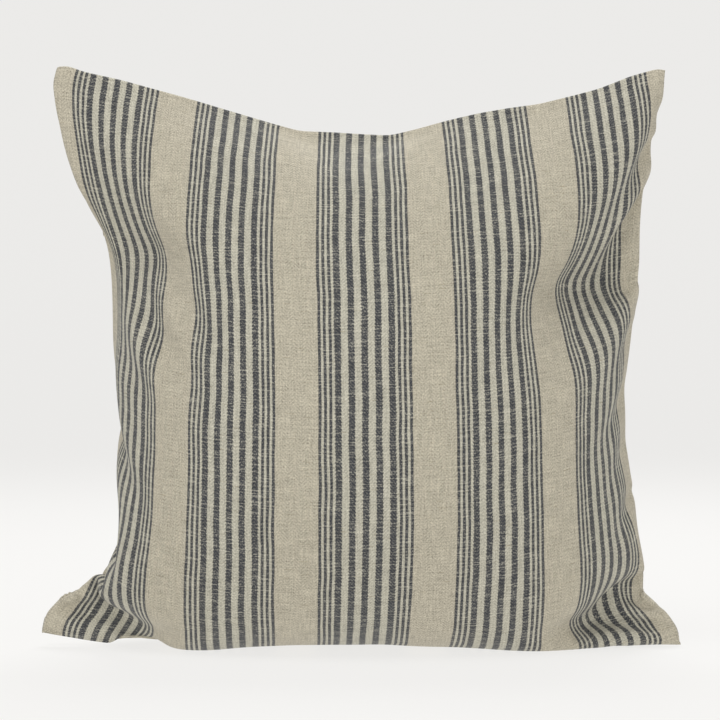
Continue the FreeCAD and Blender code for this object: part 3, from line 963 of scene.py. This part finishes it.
def makeLinen():
    material, tree, shader = nodeTree("stripedHerringboneLinen")
    m = Maths(tree)
    place = tree.nodes.new("ShaderNodeUVMap")
    place.uv_map = "cloth"
    split = tree.nodes.new("ShaderNodeSeparateXYZ")
    tree.links.new(place.outputs[0], split.inputs[0])
    u, v = split.outputs[0], split.outputs[1]
    # yarns wander a little to the side as they run up the cloth
    wander = m.noise(m.join(m.times(u, 260.0), m.times(v, 30.0)), 1.0, 2.0)
    drift = m.noise(m.join(m.times(u, 9.0), m.times(v, 17.0), 8.0), 1.0, 2.0)
    uSoft = m.add(u, m.times(m.less(wander, 0.5), 0.9 * mm))
    uSoft = m.add(uSoft, m.times(m.less(drift, 0.5), linen["wander"]))
    # distance from the nearest band's middle line
    away = m.wave(uSoft, linen["repeat"] / 2)
    away = m.less(linen["repeat"] / 2, away)
    # the slanting ribs, which turn back at each column
    zig = m.wave(m.less(uSoft, linen["bar"] / 4), linen["column"])
    rib = m.add(v, m.times(zig, linen["slope"]))
    ribWave = m.do("SINE", m.times(rib, 2 * math.pi / linen["twill"]))
    ribWave = m.add(m.times(ribWave, 0.5), 0.5)
    # the bars' edges step in and out with the ribs
    stepped = m.add(away, m.times(m.less(ribWave, 0.5), 0.5 * mm))
    # a bar's middle sits at each whole step of the bars' spacing
    cycle = m.do("WRAP", m.add(stepped, linen["bar"] / 2), linen["bar"], 0.0)
    barAway = m.do("ABSOLUTE", m.less(cycle, linen["bar"] / 2))
    soft = linen["edge"]
    bars = m.ramp(barAway, linen["barHalf"] + soft, linen["barHalf"] - soft)
    lastBar = linen["bars"] / 2 * linen["bar"] - 0.1 * linen["bar"]
    bars = m.times(bars, m.ramp(away, lastBar + soft, lastBar - soft))
    thin, thinSoft = None, linen["thinEdge"]
    for middle in linen["thin"]:
        near = m.do("ABSOLUTE", m.less(away, middle))
        line = m.ramp(near, linen["thinHalf"] + thinSoft, linen["thinHalf"] - thinSoft)
        thin = line if thin is None else m.do("MAXIMUM", thin, line)
    # single yarns: streaks along the warp and along the weft, and a fine grain
    warp = m.noise(m.join(m.times(u, 900.0), m.times(v, 60.0)), 1.0, 2.0, 0.6)
    weft = m.noise(m.join(m.times(u, 55.0), m.times(v, 950.0)), 1.0, 2.0, 0.6)
    grain = m.noise(m.join(m.times(u, 800.0), m.times(v, 800.0)), 1.0, 2.0, 0.6)
    slub = m.noise(m.join(m.times(u, 80.0), m.times(v, 900.0), 3.0), 1.0, 2.0)
    mottle = m.noise(m.join(m.times(u, 70.0), m.times(v, 70.0), 5.0), 1.0, 3.0, 0.6)
    # dark yarn shows less where a light weft yarn crosses over it
    crossed = m.ramp(m.add(weft, m.times(m.less(grain, 0.5), 0.8)), 0.50, 0.72)
    shown = m.add(linen["inkLow"], m.times(ribWave, 1 - linen["inkLow"]))
    shown = m.times(shown, m.less(1.0, m.times(crossed, linen["crossed"])))
    ink = m.times(m.do("MAXIMUM", thin, bars), shown)
    inBand = m.ramp(away, *linen["bandEdge"])
    base = m.mix(m.times(inBand, 0.8), linen["natural"], linen["gap"])
    base = m.mix(m.times(m.ramp(slub, 0.60, 0.78), 0.8), base, linen["fleck"])
    colour = m.mix(ink, base, linen["charcoal"])
    light = m.add(1.0, m.times(m.less(warp, 0.5), linen["warpLight"]))
    light = m.add(light, m.times(m.less(weft, 0.5), linen["weftLight"]))
    light = m.add(light, m.times(m.less(grain, 0.5), linen["grainLight"]))
    light = m.add(light, m.times(m.less(mottle, 0.5), linen["mottleLight"]))
    light = m.add(light, m.times(m.less(ribWave, 0.5), linen["ribLight"]))
    m.plug(shader.inputs["Base Color"], m.brighten(colour, light))
    height = m.add(m.times(ribWave, 0.6), m.times(grain, 0.6))
    height = m.add(height, m.times(m.add(warp, weft), 0.6))
    m.plug(shader.inputs["Normal"], m.bump(height, 0.3 * mm, 0.9))
    shader.inputs["Roughness"].default_value = 0.92
    shader.inputs["Specular IOR Level"].default_value = 0.25
    shader.inputs["Sheen Weight"].default_value = 0.15
    shader.inputs["Sheen Roughness"].default_value = 0.5
    return material


linenCloth = makeLinen()
for piece in (frontPanel, backPanel):
    piece.data.materials.append(linenCloth)


def makePlain(name, colour, period, roughness=0.9, depth=0.1 * mm, sheen=0.1):
    # a plain weave on object coordinates: two crossed sine ridges
    material, tree, shader = nodeTree(name)
    m = Maths(tree)
    place = tree.nodes.new("ShaderNodeTexCoord")
    split = tree.nodes.new("ShaderNodeSeparateXYZ")
    tree.links.new(place.outputs["Object"], split.inputs[0])
    x, y, z = split.outputs
    rate = 2 * math.pi / period
    one = m.do("SINE", m.times(m.add(x, m.times(y, 0.7)), rate))
    two = m.do("SINE", m.times(m.add(z, m.times(y, 0.7)), rate))
    weave = m.times(one, two)
    grain = m.noise(place.outputs["Object"], 400.0, 3.0)
    light = m.add(m.add(0.9, m.times(weave, 0.05)), m.times(m.less(grain, 0.5), 0.25))
    m.plug(shader.inputs["Base Color"], m.brighten(colour, light))
    m.plug(shader.inputs["Normal"], m.bump(weave, depth, 0.7))
    shader.inputs["Roughness"].default_value = roughness
    shader.inputs["Sheen Weight"].default_value = sheen
    return material


finishes = {
    "casing_fabric": makePlain("whiteCambric", linear(238, 238, 234), 0.5 * mm),
    "filling": makePlain("featherAndFibre", linear(240, 238, 230), 9 * mm, 0.95, 1.5 * mm, 0.4),
    "thread": makePlain("naturalThread", linear(198, 190, 170), 0.35 * mm),
    "casing_thread": makePlain("whiteThread", linear(240, 240, 236), 0.35 * mm),
    "label": makePlain("labelSatin", linear(240, 240, 238), 0.25 * mm, 0.45, 0.02 * mm),
    "zip_tape": makePlain("zipTapeWeave", linear(198, 190, 170), 0.8 * mm),
    "zip_coil": makePlain("coilPolyester", linear(190, 182, 162), 0.9 * mm, 0.4, 0.02 * mm, 0.0),
    "zip_metal": makePlain("enamelledMetal", linear(186, 178, 158), 1.4 * mm, 0.3, 0.01 * mm, 0.0),
}
slotOf = {entry["node"]: entry["material_slot"] for entry in frame["record"]["subparts"]}
for node, holder in frame["nodes"].items():
    if slotOf[node] in finishes:
        for k in range(max(1, len(holder.material_slots))):
            if not holder.material_slots:
                holder.data.materials.append(finishes[slotOf[node]])
            holder.material_slots[k].material = finishes[slotOf[node]]
for piece in (casingFront, casingBack):
    piece.data.materials.append(finishes["casing_fabric"])
filling.data.materials.append(finishes["filling"])
for slotName, group in threadPieces.items():
    for piece in group:
        piece.data.materials.append(finishes[slotName])
print("materials made")


studio = {
    "cameraDistance": 1.68,
    "cameraHeight": 0.2216,
    "fieldWide": 0.5581,      # metres across the view at the seam plane
    "reach": 6.5,             # half the floor's width, and half the width of its flat part
    "flatReach": 3.6,
    "floorRows": 81,
    "rim": 0.32,
    "air": 0.30,              # strength of the white all round
    # each light's place, the point it faces, its width and height, and its watts
    "lights": {
        "keyLight": ((-0.35, -0.85, 2.2), (0, 0, 0.22), (1.3, 1.3), 20),
        "frontLight": ((0.35, -2.6, 0.55), (0, 0, 0.2), (1.5, 1.2), 11),
        "rearLight": ((0.2, 1.2, 2.1), (0, 0, 0.3), (1.2, 1.2), 34),
    },
}


def makeBackdrop():
    # a floor whose far parts rise like a bowl's rim: the height grows as distance squared
    count = studio["floorRows"]
    side = np.linspace(-studio["reach"], studio["reach"], count)
    x, y = np.meshgrid(side, side, indexing="ij")
    away = (x ** 4 + y ** 4) ** 0.25 - studio["flatReach"]
    z = studio["rim"] * np.maximum(away, 0) ** 2
    piece = addMesh("backdrop", np.stack([x, y, z], -1), gridFaces(count, count))
    material, tree, shader = nodeTree("paleBackdrop")
    shader.inputs["Base Color"].default_value = (0.16, 0.159, 0.157, 1)
    shader.inputs["Roughness"].default_value = 1.0
    shader.inputs["Specular IOR Level"].default_value = 0.0
    shader.inputs["Emission Color"].default_value = linear(245, 244, 242)
    shader.inputs["Emission Strength"].default_value = 0.83
    piece.data.materials.append(material)


def addArea(name, place, aim, size, power):
    light = bpy.data.lights.new(name, "AREA")
    light.shape = "RECTANGLE"
    light.size, light.size_y = size
    light.energy = power
    lamp = bpy.data.objects.new(name, light)
    way = np.array(aim, float) - np.array(place, float)
    flat = math.hypot(way[0], way[1])
    lamp.location = place
    lamp.rotation_euler = (math.pi / 2 + math.atan2(way[2], flat), 0, math.atan2(-way[0], way[1]))
    bpy.context.scene.collection.objects.link(lamp)


def makeRoom():
    makeBackdrop()
    for name, (place, aim, size, power) in studio["lights"].items():
        addArea(name, place, aim, size, power)
    world = bpy.data.worlds.new("studioAir")
    world.use_nodes = True
    world.node_tree.nodes["Background"].inputs["Color"].default_value = (1, 1, 1, 1)
    world.node_tree.nodes["Background"].inputs["Strength"].default_value = studio["air"]
    bpy.context.scene.world = world
    bpy.context.scene.view_settings.view_transform = "Standard"


def makeCamera():
    lens = bpy.data.cameras.new("camera")
    lens.sensor_width = 36
    lens.lens = 36 * studio["cameraDistance"] / studio["fieldWide"]
    lens.clip_end = 30
    camera = bpy.data.objects.new("camera", lens)
    camera.location = (0, -studio["cameraDistance"], studio["cameraHeight"])
    camera.rotation_euler = (math.pi / 2, 0, 0)
    bpy.context.scene.collection.objects.link(camera)
    bpy.context.scene.camera = camera


makeRoom()
makeCamera()
